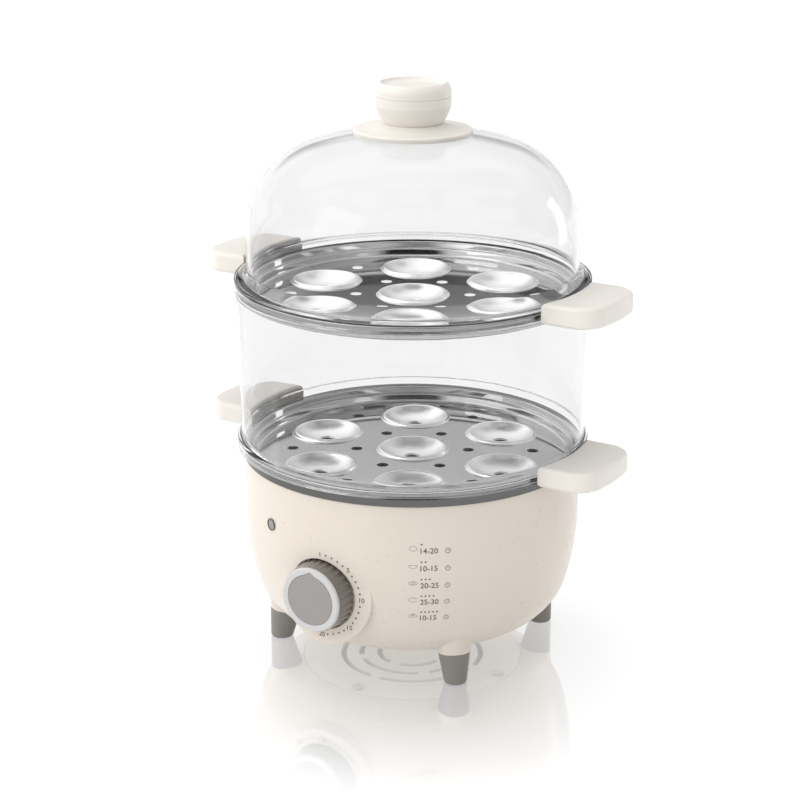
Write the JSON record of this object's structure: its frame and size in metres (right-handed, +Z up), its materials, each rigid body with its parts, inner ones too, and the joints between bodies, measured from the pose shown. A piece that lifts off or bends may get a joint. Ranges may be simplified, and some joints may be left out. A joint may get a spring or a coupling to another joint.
{
  "type": "egg cooker",
  "caption": "Tall round electric egg cooker: cream base with a turn dial, stacked steel egg trays with side handles, a clear middle ring and a clear domed lid with a knob",
  "frame": {"origin": "on the cooker's upright axis, on the surface that its feet stand on", "axes": "+Z up; -Y towards the front, where the timer dial is; the tray handles point along +X and -X"},
  "size_m": [0.242, 0.1967, 0.3028],
  "materials": {
    "cream_body": "warm ivory moulded plastic, satin gloss",
    "cream_trim": "warm ivory moulded plastic, satin",
    "cover_plastic": "warm ivory moulded plastic, matte",
    "foot_rubber": "warm dark grey rubber",
    "seal_rubber": "light grey silicone rubber",
    "pan_steel": "fine satin stainless steel",
    "tray_steel": "polished stainless steel",
    "clear_plastic": "clear polished plastic",
    "dial_grey": "warm grey satin plastic",
    "dial_ring_grey": "silver grey satin plastic",
    "dial_cap_grey": "mid grey satin plastic",
    "lamp_grey": "grey satin plastic",
    "lamp_lens": "smoked clear plastic",
    "lamp_glass": "neon lamp glass",
    "heater_aluminium": "cast aluminium",
    "element_steel": "dull steel",
    "fastener_steel": "zinc-plated steel",
    "ceramic_white": "white ceramic or heat-proof plastic",
    "timer_plastic": "black moulded plastic",
    "wire_insulation": "heat-proof wire sleeve"
  },
  "bodies": {
    "base": {"base_housing": "cream_body", "foot_front_left": "foot_rubber", "foot_front_right": "foot_rubber", "foot_rear_left": "foot_rubber", "foot_rear_right": "foot_rubber", "bottom_cover": "cover_plastic", "bottom_cover_screws": "fastener_steel", "heating_pan": "pan_steel", "pan_seal": "seal_rubber", "heater_plate": "heater_aluminium", "heater_element": "element_steel", "element_insulators": "ceramic_white", "pan_studs": "element_steel", "pan_nuts": "element_steel", "pan_bracket": "element_steel", "pan_bracket_screws": "fastener_steel", "thermostat": "timer_plastic", "thermostat_bracket": "element_steel", "thermostat_screws": "fastener_steel", "thermal_fuse": "ceramic_white", "thermal_fuse_clip": "element_steel", "timer_plate": "element_steel", "timer_screws": "fastener_steel", "timer_case": "timer_plastic", "timer_bell": "element_steel", "indicator_bezel": "lamp_grey", "indicator_lens": "lamp_lens", "indicator_lamp": "lamp_glass", "terminal_block": "ceramic_white", "cord_gland": "seal_rubber", "internal_wires": "wire_insulation"},
    "timer_dial": {"timer_shaft": "element_steel", "dial_knob": "dial_grey", "dial_ring": "dial_ring_grey", "dial_cap": "dial_cap_grey"},
    "lower_tray": {"lower_egg_tray": "tray_steel", "lower_tab_left": "tray_steel", "lower_tab_right": "tray_steel", "lower_handle_left_top": "cream_trim", "lower_handle_left_bottom": "cream_trim", "lower_handle_right_top": "cream_trim", "lower_handle_right_bottom": "cream_trim", "lower_handle_screws": "fastener_steel"},
    "tier": {"clear_ring": "clear_plastic"},
    "upper_tray": {"upper_egg_tray": "tray_steel", "upper_tab_left": "tray_steel", "upper_tab_right": "tray_steel", "upper_handle_left_top": "cream_trim", "upper_handle_left_bottom": "cream_trim", "upper_handle_right_top": "cream_trim", "upper_handle_right_bottom": "cream_trim", "upper_handle_screws": "fastener_steel"},
    "lid": {"dome_lid": "clear_plastic", "lid_knob_flange": "cream_trim", "lid_knob_grip": "cream_trim", "lid_knob_cap": "cream_trim", "lid_knob_washer": "seal_rubber", "lid_knob_screw": "fastener_steel"}
  },
  "joints": [
    {"name": "timer_turn", "type": "hinge", "parent": "base", "child": "timer_dial", "pos_m": [0, -0.0864, 0.0525], "axis": [0, 1, 0], "range_deg": [0, 270]},
    {"name": "lower_tray_lift", "type": "slide", "parent": "base", "child": "lower_tray", "axis": [0, 0, 1], "range_m": [0, 0.06]},
    {"name": "clear_ring_lift", "type": "slide", "parent": "lower_tray", "child": "tier", "axis": [0, 0, 1], "range_m": [0, 0.12]},
    {"name": "upper_tray_lift", "type": "slide", "parent": "tier", "child": "upper_tray", "axis": [0, 0, 1], "range_m": [0, 0.06]},
    {"name": "lid_lift", "type": "slide", "parent": "upper_tray", "child": "lid", "axis": [0, 0, 1], "range_m": [0, 0.12]}
  ]
}
